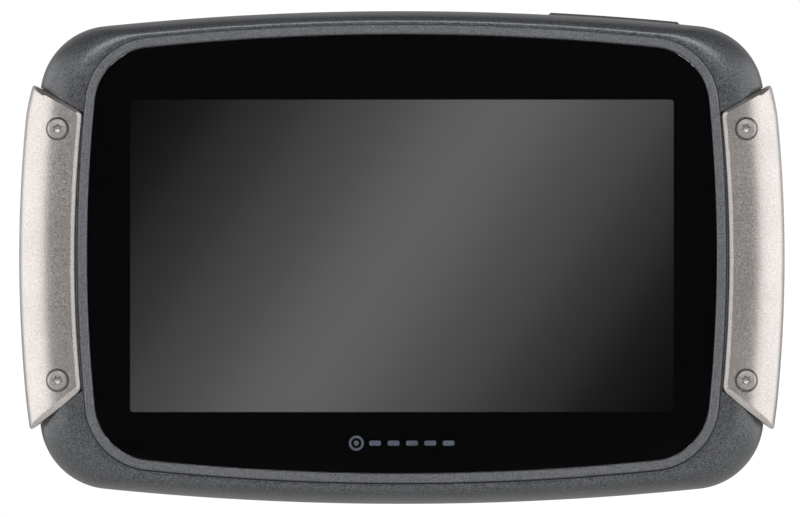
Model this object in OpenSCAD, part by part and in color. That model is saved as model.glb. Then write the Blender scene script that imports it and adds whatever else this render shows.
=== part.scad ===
// Portable satellite navigator that clips onto a vehicle's powered dock.
// A 4.3 inch touch display in a ruggedised two-piece housing with screwed-on side trims.
// +X is to the right seen from the front, +Z is up and the display faces -Y.
// The origin is the centre of the dock face at the back, so the unit lies at y <= 0.

/* [Housing] */
// Width of the housing without the side trims
body_w = 133.9; // [124:0.1:161]
// Height of the housing
body_h = 89.1; // [82:0.1:107]
// Depth from the front of the display rim to the dock face
body_d = 30.3; // [30:0.1:36.5]
// Radius of the long curve along the top and the bottom
top_r = 530; // [400:10:900]
// Radius of the long curve down each side
side_r = 285; // [220:5:500]
// Radius of the housing's corners
corner_r = 12.9; // [11:0.1:15.5]
// Wall of the housings at the top and the bottom
wall = 2.4; // [2:0.1:2.8]
// Wall of the housings at the sides
side_wall = 3.0; // [2.5:0.1:3.6]
// Distance from the dock face forward to the parting plane
parting = 21; // [20.8:0.1:21.4]
// Distance from the dock face forward to the flat of the rear housing
rear_flat = 8; // [6.8:0.1:8.6]
// How far the rear flat's edge lies inside the housing's outline
rear_inset = 6.5; // [5.4:0.1:7]

/* [Display] */
// Housing to be seen beside the display rim, on each side
side_band = 8.6; // [8.2:0.1:9.4]
// Housing to be seen above and below the rim, on average
end_band = 3.3; // [2.8:0.1:4]
// How far the rim and the glass sit above the housing's middle
rim_shift = 0.65; // [0:0.05:0.8]
// Width of the rim's flat land
rim_land = 1.75; // [1.45:0.05:2.1]
// Glass set back behind the rim
glass_recess = 0.4; // [0.3:0.05:0.6]
// Thickness of the cover glass
glass_t = 1.1; // [0.9:0.1:1.4]
// Black border beside the window, on each side
border_side = 7.7; // [7.2:0.1:9.2]
// Black border above the window
border_top = 11.75; // [11:0.05:14]
// Black border below the window
border_bottom = 11.05; // [10.5:0.05:14]
// Height of the step from the rim down to the housing
rim_step = 0.4; // [0.3:0.05:0.6]

/* [Side trims] */
// How far a trim stands out past the housing's side
trim_proud = 2.25; // [1.9:0.05:2.7]
// Thickness of a trim
trim_t = 2.3; // [2.2:0.1:2.6]
// Radius of a trim's outer edge, seen from the front
trim_r = 260; // [220:5:320]
// Height of a trim's inner edge above the middle
trim_up = 26.1; // [24.5:0.1:27]
// Height of a trim's inner edge below the middle
trim_down = 24.0; // [23.5:0.1:26]
// Slope of a trim's upper end
trim_slope_up = 30; // [26:1:36]
// Slope of a trim's lower end
trim_slope_down = 38; // [33:1:42]
// Gap between a trim's inner edge and the rim
trim_gap = 0.5; // [0.4:0.05:0.7]
// Radius of a trim screw's head
trim_head_r = 1.85; // [1.5:0.05:2.1]

/* [Dock] */
// Width of the dock plate
dock_w = 66; // [64:0.5:79]
// Height of the dock plate
dock_h = 48; // [46:0.5:57.5]
// Thickness of the dock plate
dock_t = 2.7; // [2.4:0.1:3.2]
// Distance between the two locating sockets
socket_pitch = 40; // [34:0.5:44]
// Radius of the locating sockets
socket_r = 2.0; // [1.6:0.1:2.4]
// Depth of the locating sockets
socket_depth = 1.9; // [1.5:0.1:2]
// Number of contacts
contact_count = 8; // [4:1:9]
// Distance from one contact to the next
contact_pitch = 3.2; // [2.8:0.1:3.4]

/* [Power button] */
// Length of the button along the top edge
button_l = 24; // [20:0.5:25]
// Width of the button from front to back
button_w = 5; // [4.2:0.1:5.2]
// Distance from the middle to the button's middle
button_x = 38.4; // [30:0.1:38.8]
// How far the button stands above the housing's outline
button_proud = 0.45; // [0.4:0.05:0.6]
// Travel of the button
button_travel = 0.4; // [0.3:0.05:0.45]

/* [Port cover] */
// Length of the port bay along the bottom edge
bay_l = 28; // [27.5:0.5:33.5]
// Width of the port bay from front to back
bay_w = 5.6; // [5.2:0.1:5.8]
// Distance from the middle to the bay's middle, on the left
bay_x = 18; // [17.5:0.5:19]
// Thickness of the rubber cover
cover_t = 1.2; // [1:0.1:1.3]

/* [Inside] */
// Width of the battery cell
battery_w = 50; // [36:1:50]
// Height of the battery cell
battery_h = 33; // [26:1:34]
// Thickness of the battery cell
battery_t = 6; // [4.5:0.1:6.2]
// Thickness of the main board
board_t = 1.0; // [0.8:0.1:1.2]
// Side of the square satellite antenna
patch_side = 18; // [14:0.5:20]

/* [Hidden] */
$fn = 48;

// Clearances
fit_gap = 0.08;      // a seated piece in its seat
move_gap = 0.3;      // a moving piece beside a fixed one
run_gap = 0.05;      // a pin or a plunger in its hole
screw_gap = 0.03;    // a screw in its pilot hole
trim_clear = 0.15;   // a trim over the housing
cut = 1;             // how far a cutting shape runs past what it cuts

// Depths, as y, from the front to the back
mask_t = 0.15;
rim_ledge_t = 1.5;
housing_ledge_t = 3.1;
face_y = -body_d;
body_front_y = face_y + rim_step;
glass_y = face_y + glass_recess;
glass_back_y = glass_y + glass_t;
mask_back_y = glass_back_y + mask_t;
seat_y = mask_back_y + rim_ledge_t;
ledge_back_y = seat_y + housing_ledge_t;
part_y = -parting;
rear_y = -rear_flat;
rear_in_y = rear_y - wall;
seal_t = 0.3;
plate_y = -dock_t;
hump_y = plate_y - seal_t;
hump_in_y = hump_y - wall;

// Half sizes of the outlines
body_a = body_w / 2;
body_b = body_h / 2;
rim_a = body_a - side_band;
rim_b = body_b - end_band;
glass_a = rim_a - rim_land;
glass_b = rim_b - rim_land;
glass_top_r = 446;
glass_side_r = 278;
glass_corner_r = 10.6;
ledge_in = 1.6;      // how far the housing's ledge reaches in behind the rim
glass_ledge = 2.6;   // how far the rim's ledge reaches in behind the glass

// Points along each quarter of an outline
n_side = 4;
n_corner = 7;
n_top = 6;

// Centre of the corner arc that is tangent to the top arc and to the side arc
function corner_centre(a, b, rt, rs, rc) =
    let (ct = [0, b - rt], cs = [a - rs, 0], r1 = rt - rc, r2 = rs - rc,
         d = cs - ct, len = norm(d), along = (r1 * r1 - r2 * r2 + len * len) / (2 * len),
         up = sqrt(r1 * r1 - along * along), mid = ct + d * along / len,
         side = [-d.y, d.x] / len, p = mid + side * up)
    p.x > 0 && p.y > 0 ? p : mid - side * up;

// First quarter of an outline, from the middle of the side round to the middle of the top
function quarter(a, b, rt, rs, rc) =
    let (c = corner_centre(a, b, rt, rs, rc),
         side_end = atan2(c.y, c.x - (a - rs)),
         top_end = atan2(c.y - (b - rt), c.x))
    concat(
        [for (i = [0:n_side - 1]) let (t = side_end * i / n_side)
            [a - rs + rs * cos(t), rs * sin(t)]],
        [for (i = [0:n_corner - 1]) let (t = side_end + (top_end - side_end) * i / n_corner)
            c + rc * [cos(t), sin(t)]],
        [for (i = [0:n_top - 1]) let (t = top_end + (90 - top_end) * i / n_top)
            [rt * cos(t), b - rt + rt * sin(t)]]);

// Whole outline in x and z, counter-clockwise, raised by shift
function outline(a, b, rt, rs, rc, shift = 0) =
    let (q = quarter(a, b, rt, rs, rc), n = len(q))
    [for (p = concat(
        q, [[0, b]], [for (i = [n - 1:-1:1]) [-q[i].x, q[i].y]],
        [for (p = q) -p], [[0, -b]], [for (i = [n - 1:-1:1]) [q[i].x, -q[i].y]]))
        [p.x, p.y + shift]];

// Outlines of the housing, its inside, the glass and the rim, grown by g
function body_line(g = 0) =
    outline(body_a + g, body_b + g, top_r + g, side_r + g, corner_r + g);
function inner_line(g = 0) =
    outline(body_a - side_wall + g, body_b - wall + g, top_r - wall + g,
            side_r - side_wall + g, corner_r - wall + g);
function glass_line(g = 0) =
    outline(glass_a + g, glass_b + g, glass_top_r + g, glass_side_r + g,
            glass_corner_r + g, rim_shift);
function rim_line(g = 0) = glass_line(rim_land + g);

// A row of a loft, which is an outline at one depth, and a mix of two outlines
function row(line, y) = [for (p = line) [p.x, y, p.y]];
function between(p, q, share) = [for (i = [0:len(p) - 1]) p[i] + (q[i] - p[i]) * share];

// Faces between the rows of a loft; a closed loft joins its last row to its first.
function bands(n, m, closed) =
    [for (j = [0:m - (closed ? 1 : 2)]) for (i = [0:n - 1])
        let (k = (i + 1) % n, l = (j + 1) % m)
        for (f = [[j * n + i, l * n + i, l * n + k], [j * n + i, l * n + k, j * n + k]]) f];

// End faces of a loft as strips across its rows, from one half of a row to the other
function strip(first, n) =
    [for (i = [0:n / 2 - 2]) for (f = [[i, i + 1, n - 1 - i], [i + 1, n - 2 - i, n - 1 - i]])
        [for (k = f) first + k]];
function turned(faces) = [for (f = faces) [f[2], f[1], f[0]]];

module loft(rows, closed = false) {
    n = len(rows[0]);
    m = len(rows);
    ordered = closed ? [for (i = [m - 1:-1:0]) rows[i]] : rows;
    polyhedron([for (r = ordered) for (p = r) p],
               concat(bands(n, m, closed),
                      closed ? [] : strip(0, n), closed ? [] : turned(strip((m - 1) * n, n))),
               convexity = 6);
}

// Points round one rounded corner b of a polygon, between its neighbours a and c
function bend(a, b, c, r) =
    let (u = (a - b) / norm(a - b), v = (c - b) / norm(c - b), half = acos(u * v) / 2,
         o = b + (u + v) / norm(u + v) * r / sin(half),
         s = b + u * r / tan(half) - o, e = b + v * r / tan(half) - o,
         start = atan2(s.y, s.x), sweep = (atan2(e.y, e.x) - start + 540) % 360 - 180)
    [for (i = [0:6]) o + r * [cos(start + sweep * i / 6), sin(start + sweep * i / 6)]];

// A rectangle with rounded corners, centred
module rounded_rect(w, h, r) {
    p = [[w / 2, h / 2], [-w / 2, h / 2], [-w / 2, -h / 2], [w / 2, -h / 2]];
    polygon([for (i = [0:3]) for (q = bend(p[(i + 3) % 4], p[i], p[(i + 1) % 4], r)) q]);
}

// A flat shape drawn in x and z, extruded from depth y0 back to depth y1
module slab(y0, y1) {
    translate([0, y1, 0]) rotate([90, 0, 0]) linear_extrude(y1 - y0) children();
}

// A round bar along Y at x and z
module bar(x, z, r, y0, y1) {
    translate([x, y1, z]) rotate([90, 0, 0]) cylinder(h = y1 - y0, r = r);
}

// A box given by its middle in x and z and by its two depths
module block(x, z, w, h, y0, y1) {
    translate([x - w / 2, y0, z - h / 2]) cube([w, y1 - y0, h]);
}

// A ribbon of width w centred at x, along points given as [y, z]
module ribbon(x, w, points, t) {
    for (i = [0:len(points) - 2])
        let (p = points[i], q = points[i + 1])
        translate([x - w / 2, min(p[0], q[0]) - t / 2, min(p[1], q[1]) - t / 2])
            cube([w, abs(q[0] - p[0]) + t, abs(q[1] - p[1]) + t]);
}

// --- Places ---
window_w = 2 * (glass_a - border_side);
window_low = rim_shift - glass_b + border_bottom;
window_high = rim_shift + glass_b - border_top;
window_z = (window_low + window_high) / 2;
window_h = window_high - window_low;
lcd_edge_x = 3.6;    // how far the display reaches beyond the window, each way
lcd_edge_z = 5.3;
touch_edge_x = 1.6;  // and the touch sensor
touch_edge_z = 2.4;
lcd_w = window_w + 2 * lcd_edge_x;
lcd_h = window_h + 2 * lcd_edge_z;

// Housing screws: four in the corners and two between them
boss_r = 3.2;
mid_boss_r = 2.8;
corner = corner_centre(body_a, body_b, top_r, side_r, corner_r);
boss_x = corner.x + 5;
boss_z = corner.y + 3.02;
mid_boss_z = body_b - 6.55;
low_boss_x = 6;
corner_bosses = [for (sx = [-1, 1]) for (sz = [-1, 1]) [sx * boss_x, sz * boss_z]];
mid_bosses = [[0, mid_boss_z], [low_boss_x, -mid_boss_z]];
all_bosses = concat(corner_bosses, mid_bosses);
boss_front_y = seat_y + 0.25;
shank_r = 0.95;
pilot_end_y = boss_front_y + 1;
head_r = 1.75;
head_seat_y = rear_y - 3.4;

// Trim screws, chassis screws and board screws
trim_screw_x = rim_a + 3.6;
trim_screws_z = [23.15, -22.1];
trim_seat_y = body_front_y + 1.3;
chassis_screw_x = body_a - 6.9;
chassis_screw_z = 10;
chassis_t = 1.4;
chassis_back_y = ledge_back_y + chassis_t;
board_back_y = part_y + 3;
board_y = board_back_y - board_t;
board_w = 98;
board_low = -body_b + 10.95;
board_high = body_b - 13.05;
board_screw_x = 44;
board_screw_z = 27;

// --- Side trims ---
trim_a = body_a + trim_proud;
trim_centre = trim_a - trim_r;
trim_in = rim_a + trim_gap;
trim_e = 2 / 2.4;                   // roundness of the section
trim_x0 = trim_in - 1.8;
trim_front_y = body_front_y - 0.2;
trim_rear_reach = 16;
trim_wrap = 18;                     // how far round the back the section goes, in degrees
trim_steps = 12;

// Outer curve of the section, taken in by t, from the front's inner edge x_in round to the back
function trim_curve(t, x_in) =
    let (ax = trim_a - trim_x0 - t, front = part_y - trim_front_y - t, rear = trim_rear_reach - t,
         first = acos(pow((x_in - trim_x0) / ax, 1 / trim_e)))
    concat(
        [for (i = [9:-1:0]) let (u = first * i / 9)
            [trim_x0 + ax * pow(cos(u), trim_e), part_y - front * pow(sin(u), trim_e)]],
        [for (i = [1:3]) let (u = trim_wrap * i / 3)
            [trim_x0 + ax * pow(cos(u), trim_e), part_y + rear * pow(sin(u), trim_e)]]);

function trim_section(grow, inward) =
    let (x_in = trim_in - grow - inward,
         outer = trim_curve(-grow, x_in), inner = trim_curve(trim_t + grow, x_in))
    concat(outer, [for (i = [len(inner) - 1:-1:0]) inner[i]]);

// Where a section point on its long arc of radius r has got to at height z
function trim_x(r, z) = trim_centre + sqrt(r * r - z * z);

// Height at which a section point meets an end that slopes away from the inner edge
function trim_end(r, up, slope) =
    let (x0 = trim_x(trim_in - trim_centre, up), first = up + (trim_x(r, up) - x0) * tan(slope))
    up + (trim_x(r, first) - x0) * tan(slope);

// A trim without its holes; grown and reaching further inward it cuts the trim's recess
module trim_blank(grow = 0, inward = 0) {
    section = trim_section(grow, inward);
    loft([for (i = [0:trim_steps])
        [for (p = section)
            let (r = p.x - trim_centre,
                 top = trim_end(r, trim_up + grow, trim_slope_up),
                 low = -trim_end(r, trim_down + grow, trim_slope_down),
                 z = low + (top - low) * i / trim_steps)
            [trim_x(r, z), p.y, z]]]);
}

module right_trim() {
    color("silver") difference() {
        trim_blank();
        for (z = trim_screws_z) {
            bar(trim_screw_x, z, trim_head_r + 0.3, face_y - cut, trim_seat_y);
            bar(trim_screw_x, z, 1.1, face_y - cut, part_y);
        }
    }
}

module left_trim() {
    mirror([1, 0, 0]) right_trim();
}

trim_shank_r = 0.9;
trim_shank_end = ledge_back_y - 0.5;

// Six-lobed recess of a trim screw
module star(r, dip) {
    polygon([for (i = [0:35]) (r - dip * (1 - cos(60 * i)) / 2) * [cos(10 * i), sin(10 * i)]]);
}

module trim_screws() {
    color("lightslategray") for (sx = [-1, 1]) for (z = trim_screws_z) {
        difference() {
            bar(sx * trim_screw_x, z, trim_head_r, trim_seat_y - 0.9, trim_seat_y);
            slab(trim_seat_y - 0.9 - cut, trim_seat_y - 0.35)
                translate([sx * trim_screw_x, z]) star(0.85, 0.25);
        }
        bar(sx * trim_screw_x, z, trim_shank_r, trim_seat_y, trim_shank_end);
    }
}

// --- Front housing ---
roll_rows = 7;
function front_row(t) =
    row(between(rim_line(0.4), body_line(), sin(t)),
        part_y + (body_front_y - part_y) * cos(t));

module front_housing() {
    color("dimgray") difference() {
        union() {
            loft(concat(
                [row(rim_line(fit_gap), body_front_y)],
                [for (i = [0:roll_rows]) front_row(90 * i / roll_rows)],
                [row(inner_line(), part_y),
                 row(inner_line(), ledge_back_y),
                 row(rim_line(-ledge_in), ledge_back_y),
                 row(rim_line(-ledge_in), seat_y),
                 row(rim_line(fit_gap), seat_y)]), true);
            for (p = corner_bosses) bar(p.x, p.y, boss_r, boss_front_y, part_y);
            for (p = mid_bosses) bar(p.x, p.y, mid_boss_r, boss_front_y, part_y);
        }
        // room for the corners of the display tray
        block(0, window_z, lcd_w + 2 * fit_gap, lcd_h + 2 * fit_gap,
              seat_y - fit_gap, ledge_back_y + cut);
        trim_blank(trim_clear, 0.8);
        mirror([1, 0, 0]) trim_blank(trim_clear, 0.8);
        for (p = all_bosses) bar(p.x, p.y, shank_r + screw_gap, pilot_end_y, part_y + cut);
        for (sx = [-1, 1]) {
            for (z = trim_screws_z)
                bar(sx * trim_screw_x, z, trim_shank_r + screw_gap, face_y, trim_shank_end + 0.1);
            for (sz = [-1, 1])
                bar(sx * chassis_screw_x, sz * chassis_screw_z, 0.8 + screw_gap,
                    seat_y + 0.6, ledge_back_y + cut);
        }
    }
}

module display_frame() {
    edge = 0.25;
    color("gray") difference() {
        loft([
            row(glass_line(fit_gap), face_y + edge),
            row(glass_line(fit_gap + edge), face_y),
            row(rim_line(-edge), face_y),
            row(rim_line(), face_y + edge),
            row(rim_line(), seat_y),
            row(glass_line(-glass_ledge), seat_y),
            row(glass_line(-glass_ledge), mask_back_y),
            row(glass_line(fit_gap), mask_back_y)], true);
        // room for the corners of the touch sensor and its foam
        block(0, window_z, touch_w + 2 * fit_gap, touch_h + 2 * fit_gap, mask_back_y, seat_y + cut);
    }
}

// --- Display stack ---
module cover_glass() {
    color("black", 0.4) slab(glass_y, glass_back_y) polygon(glass_line());
}

module border_mask() {
    color("black") slab(glass_back_y, mask_back_y) difference() {
        polygon(glass_line());
        translate([0, window_z]) rounded_rect(window_w, window_h, 0.6);
    }
}

touch_t = 0.7;
touch_back_y = mask_back_y + touch_t;
touch_w = window_w + 2 * touch_edge_x;
touch_h = window_h + 2 * touch_edge_z;
foam_t = 0.85;
tray_y = touch_back_y + foam_t;
tray_t = 3.0;
tray_skin = 0.4;
tray_back_y = tray_y + tray_t;

module touch_sensor() {
    color("lightsteelblue", 0.5) block(0, window_z, touch_w, touch_h, mask_back_y, touch_back_y);
}

module display_foam() {
    color("dimgray") slab(touch_back_y, tray_y) translate([0, window_z]) difference() {
        square([touch_w, touch_h], center = true);
        square([window_w + 0.6, window_h + 0.6], center = true);
    }
}

module lcd_tray() {
    color("lightgray") difference() {
        block(0, window_z, lcd_w, lcd_h, tray_y, tray_back_y);
        block(0, window_z, lcd_w - 2 * tray_skin, lcd_h - 2 * tray_skin,
              tray_y + tray_skin, tray_back_y - tray_skin);
        block(0, window_z, window_w + 0.6, window_h + 0.6, tray_y - cut, tray_y + tray_skin + cut);
    }
}

module lcd_cell() {
    color("black") block(0, window_z, lcd_w - 1.6, lcd_h - 1.6,
                         tray_y + tray_skin + 0.05, tray_y + tray_skin + 1.25);
}

module light_guide() {
    color("white") block(0, window_z, lcd_w - 2, lcd_h - 2,
                         tray_y + tray_skin + 1.3, tray_back_y - tray_skin - 0.05);
}

flex_t = 0.15;
connector_h = 1.6;
connector_y = board_y - connector_h;
flex_y = connector_y - flex_t / 2;
lcd_low = window_z - lcd_h / 2;
touch_flex_x = 24;

module lcd_flex() {
    out_y = tray_y + 1.8;
    color("peru") ribbon(0, 24, [[out_y, lcd_low - flex_t / 2 - 0.02],
        [out_y, lcd_low - 1.3], [flex_y, lcd_low - 1.3], [flex_y, lcd_low + 8]], flex_t);
}

module touch_flex() {
    out_y = mask_back_y + 0.3;
    start = window_z - touch_h / 2;
    color("peru") ribbon(touch_flex_x, 9, [[out_y, start - flex_t / 2 - 0.02],
        [out_y, lcd_low - 1.3], [flex_y, lcd_low - 1.3], [flex_y, lcd_low + 4]], flex_t);
}

// --- Chassis and main board ---
module chassis() {
    color("silver") difference() {
        union() {
            slab(ledge_back_y, chassis_back_y) difference() {
                polygon(inner_line(-0.3));
                for (p = corner_bosses) translate(p) circle(r = boss_r + 0.35);
                for (p = mid_bosses) translate(p) circle(r = mid_boss_r + 0.35);
                translate([0, lcd_low - 1.5]) square([26, 2.4], center = true);
                translate([touch_flex_x, lcd_low - 1.5]) square([11, 2.4], center = true);
            }
            for (sx = [-1, 1]) for (sz = [-1, 1])
                bar(sx * board_screw_x, sz * board_screw_z, 2.4, chassis_back_y - 0.2, board_y);
        }
        for (sx = [-1, 1]) for (sz = [-1, 1]) {
            bar(sx * board_screw_x, sz * board_screw_z, 0.8 + screw_gap,
                chassis_back_y - 0.6, board_y + cut);
            bar(sx * chassis_screw_x, sz * chassis_screw_z, 0.95,
                ledge_back_y - cut, chassis_back_y + cut);
        }
    }
}

// A small round-headed screw whose head sits on depth y and whose shank goes forward
module small_screw(x, z, y, r, length, top_r, top_h) {
    difference() {
        bar(x, z, top_r, y, y + top_h);
        block(x, z, 2 * r, 0.4, y + top_h / 2, y + top_h + cut);
        block(x, z, 0.4, 2 * r, y + top_h / 2, y + top_h + cut);
    }
    bar(x, z, r, y - length, y);
}

module chassis_screws() {
    color("gray") for (sx = [-1, 1]) for (sz = [-1, 1])
        small_screw(sx * chassis_screw_x, sz * chassis_screw_z, chassis_back_y,
                    0.8, chassis_t + 2, 1.6, 0.9);
}

module main_board() {
    color("darkgreen") difference() {
        block(0, (board_low + board_high) / 2, board_w, board_high - board_low,
              board_y, board_back_y);
        for (sx = [-1, 1]) for (sz = [-1, 1])
            bar(sx * board_screw_x, sz * board_screw_z, 0.95, board_y - cut, board_back_y + cut);
    }
}

module board_screws() {
    color("gray") for (sx = [-1, 1]) for (sz = [-1, 1])
        small_screw(sx * board_screw_x, sz * board_screw_z, board_back_y,
                    0.8, board_t + 2.6, 1.7, 1.0);
}

plug_x = dock_w / 2 - 5.4;
dock_flex_z = -14.4;

module board_connectors() {
    color("ivory") {
        block(0, lcd_low + 6.5, 26, 3.4, connector_y, board_y);
        block(touch_flex_x, lcd_low + 3, 10, 2.8, connector_y, board_y);
        block(plug_x, 0, 3.4, 6.4, board_back_y, board_back_y + 2);
        block(0, dock_flex_z, 16, 2.6, board_back_y, board_back_y + 1.1);
        block(28, 28.9, 6, 2.2, board_back_y, board_back_y + 1.1);
    }
}

module processor_can() {
    color("silver") block(-12, 8, 27, 22, board_back_y, board_back_y + 2.2);
}

module radio_can() {
    color("silver") block(17, 13, 17, 14, board_back_y, board_back_y + 2);
}

module gps_patch() {
    color("tan") block(-38, 16, patch_side, patch_side, board_back_y, board_back_y + 4);
    color("silver") block(-38, 16, patch_side - 3, patch_side - 3,
                          board_back_y + 4, board_back_y + 4.1);
    color("silver") bar(-36.6, 16, 0.7, board_back_y + 4.1, board_back_y + 4.4);
}

module short_range_antenna() {
    color("white") block(11, 29.4, 9, 2.6, board_back_y, board_back_y + 1.2);
}

// --- Port bay on the bottom edge ---
bay_mid_x = -bay_x;
bay_y = part_y + 4.6;
bay_roof_z = -body_b + 7.35;
bay_roof_t = 1.2;
bay_z = -body_b + bay_x * bay_x / (2 * top_r);  // the housing's surface at the bay's middle
bay_tilt = asin(bay_x / top_r);
seat_w = 0.6;                                   // ledge round the bay's mouth
seat_gap = 0.2;                                 // between the cover and its ledge
hinge_r = 0.6;
bead_r = 0.8;
hinge_in = 1.3;                                 // hinge axis above the cover's outer face
hinge_out = 2.6;                                // hinge axis beyond the bay's mouth
usb_x = bay_mid_x + 9;
card_x = bay_mid_x - 5.6;
mouth_z = bay_roof_z + 0.6;                     // the sockets' mouths, within the roof

// Puts its children in the frame of the bay's cover: x along the edge, z into the housing
module at_bay() {
    translate([bay_mid_x, bay_y, bay_z]) rotate([0, bay_tilt, 0]) children();
}

hinge_x = -bay_l / 2 - hinge_out;

// The well round the bay, moulded into the inside of the rear housing's wall
module port_well() {
    left = bay_mid_x - bay_l / 2 - 5.6;
    right = bay_mid_x + bay_l / 2 + 3;
    low = -body_b + wall - 0.3;
    high = bay_roof_z + bay_roof_t;
    color("darkslategray") difference() {
        translate([left, part_y + 0.1, low]) cube([right - left, 9, high - low]);
        bay_cuts();
    }
}

module bay_cuts() {
    // the bay itself
    translate([bay_mid_x - bay_l / 2, bay_y - bay_w / 2, -body_b - cut])
        cube([bay_l, bay_w, bay_roof_z + body_b + cut]);
    // holes in the roof for the two sockets and the light pipe
    block(usb_x, bay_roof_z, 8.1, 4, board_back_y - 0.3, board_back_y + 3);
    block(card_x, bay_roof_z, 14.8, 4, board_back_y - 0.3, board_back_y + 1.9);
    translate([usb_x - 5.4, bay_y + 1.6, bay_roof_z - cut])
        cylinder(h = bay_roof_t + 2 * cut, r = 0.6 + fit_gap);
    at_bay() {
        w = bay_w + 2 * seat_w;
        // recess that takes the cover
        translate([hinge_x - 2, -w / 2, -cut])
            cube([bay_l / 2 + 1.8 - hinge_x + 2, w, cut + cover_t + seat_gap]);
        // room for the bead to turn in, and the holes of its pins
        translate([hinge_x, w / 2, hinge_in]) rotate([90, 0, 0]) cylinder(h = w, r = 1.8);
        translate([hinge_x, w / 2 + 0.45, hinge_in]) rotate([90, 0, 0])
            cylinder(h = w + 0.9, r = hinge_r + run_gap);
        // fingernail scoop at the free end
        translate([bay_l / 2 + 2.4, w / 2 - 0.6, -1.2]) rotate([90, 0, 0])
            cylinder(h = w - 1.2, r = 2.2);
    }
}

module port_cover() {
    half_w = bay_w / 2 + seat_w - move_gap;
    right = bay_l / 2 + 1.5;
    color("dimgray") at_bay() {
        difference() {
            translate([hinge_x - 0.6, -half_w, 0]) cube([right - hinge_x + 0.6, 2 * half_w, cover_t]);
            translate([right - 2.4, -half_w - cut, -1.55]) rotate([-90, 0, 0])
                cylinder(h = 2 * half_w + 2 * cut, r = 1.9);
        }
        difference() {
            plug_l = bay_l - 2 * move_gap;
            plug_w = bay_w - 2 * move_gap;
            translate([-plug_l / 2, -plug_w / 2, cover_t - 0.2]) cube([plug_l, plug_w, 1]);
            translate([-plug_l / 2 + 0.9, -plug_w / 2 + 0.9, cover_t])
                cube([plug_l - 1.8, plug_w - 1.8, 2]);
        }
        translate([hinge_x, half_w, hinge_in]) rotate([90, 0, 0])
            cylinder(h = 2 * half_w, r = bead_r);
        translate([hinge_x, half_w + move_gap + 0.4, hinge_in]) rotate([90, 0, 0])
            cylinder(h = 2 * (half_w + move_gap + 0.4), r = hinge_r);
    }
}

module usb_receptacle() {
    shell_z = mouth_z + 2.6;
    color("silver") {
        difference() {
            block(usb_x, shell_z, 7.5, 5.2, board_back_y, board_back_y + 2.6);
            block(usb_x, shell_z - 0.6, 6.9, 5.2, board_back_y + 0.3, board_back_y + 2.3);
        }
        block(usb_x, shell_z + 0.4, 5, 3.6, board_back_y + 0.9, board_back_y + 1.5);
    }
}

module card_socket() {
    socket_z = mouth_z + 7;
    color("silver") difference() {
        block(card_x, socket_z, 14.2, 14, board_back_y, board_back_y + 1.5);
        block(card_x, socket_z - 1, 11.4, 14, board_back_y + 0.3, board_back_y + 1.2);
    }
}

module charge_led() {
    color("white") block(usb_x - 5.4, mouth_z + 3.2, 1.4, 1.6, board_back_y, board_back_y + 0.8);
}

module light_pipe() {
    color("white", 0.6) {
        translate([usb_x - 5.4, bay_y + 1.6, bay_roof_z + 0.1])
            cylinder(h = bay_roof_t + 0.2, r = 0.6);
        translate([usb_x - 6.2, board_back_y + 1, bay_roof_z + bay_roof_t + 0.3])
            cube([1.6, bay_y + 2.4 - board_back_y - 1, 1.2]);
    }
}

// --- Power button on the top edge ---
button_y = part_y + 4;
button_z = body_b - button_x * button_x / (2 * top_r);
button_tilt = asin(button_x / top_r);
flange_top = -wall - 0.8;
flange_t = 0.8;
stem_end = flange_top - flange_t - 0.6;
plunger_r = 0.9;
switch_top = stem_end - button_travel - 0.2;
switch_h = 2;
button_board_z = switch_top - switch_h;
button_board_t = 0.8;
post_x = button_l / 2 + 2.1;

// Puts its children in the button's frame: x along the edge and z out of the housing
module at_button() {
    translate([button_x, button_y, button_z]) rotate([0, button_tilt, 0]) children();
}

module button_slot() {
    w = button_l + 2 * move_gap;
    d = button_w + 2 * move_gap;
    at_button() translate([-w / 2, -d / 2, -wall - 2]) cube([w, d, wall + 4]);
}

module button_posts() {
    at_button() for (sx = [-1, 1])
        translate([sx * post_x, 0, button_board_z]) cylinder(h = -button_board_z - 1.2, r = 1.4);
}

module power_button() {
    half = button_l / 2;
    chamfer = 0.5;
    arc = function (x) button_proud - x * x / (2 * top_r);
    color("dimgray") at_button() {
        translate([0, button_w / 2, 0]) rotate([90, 0, 0]) linear_extrude(button_w)
            polygon(concat(
                [[-half, flange_top], [half, flange_top], [half, arc(half) - chamfer]],
                [for (i = [4:-1:-4]) let (x = (half - chamfer) * i / 4) [x, arc(x)]],
                [[-half, arc(half) - chamfer]]));
        translate([-half - 0.7, -button_w / 2 - 0.7, flange_top - flange_t])
            cube([button_l + 1.4, button_w + 1.4, flange_t]);
        translate([0, 0, stem_end]) cylinder(h = flange_top - flange_t - stem_end, r = 1.3);
    }
}

module switch_plunger() {
    color("black") at_button() translate([0, 0, switch_top - 0.9])
        cylinder(h = stem_end - switch_top + 0.9, r = plunger_r);
}

module switch_body() {
    color("silver") at_button() difference() {
        translate([-2.4, -1.8, button_board_z]) cube([4.8, 3.6, switch_h]);
        translate([0, 0, switch_top - 0.9 - button_travel - 0.1])
            cylinder(h = 3, r = plunger_r + run_gap);
    }
}

module button_board() {
    color("darkgreen") at_button() difference() {
        translate([-post_x - 1.4, -2.6, button_board_z - button_board_t])
            cube([2 * post_x + 2.8, 5.2, button_board_t]);
        for (sx = [-1, 1]) translate([sx * post_x, 0, button_board_z - button_board_t - cut])
            cylinder(h = button_board_t + 2 * cut, r = 0.75);
    }
}

module button_screws() {
    color("gray") at_button() for (sx = [-1, 1])
        translate([sx * post_x, 0, button_board_z - button_board_t]) {
            difference() {
                translate([0, 0, -0.7]) cylinder(h = 0.7, r = 1.2);
                translate([-0.9, -0.15, -0.7 - cut]) cube([1.8, 0.3, cut + 0.3]);
            }
            cylinder(h = button_board_t + 2.4, r = 0.6);
        }
}

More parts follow.
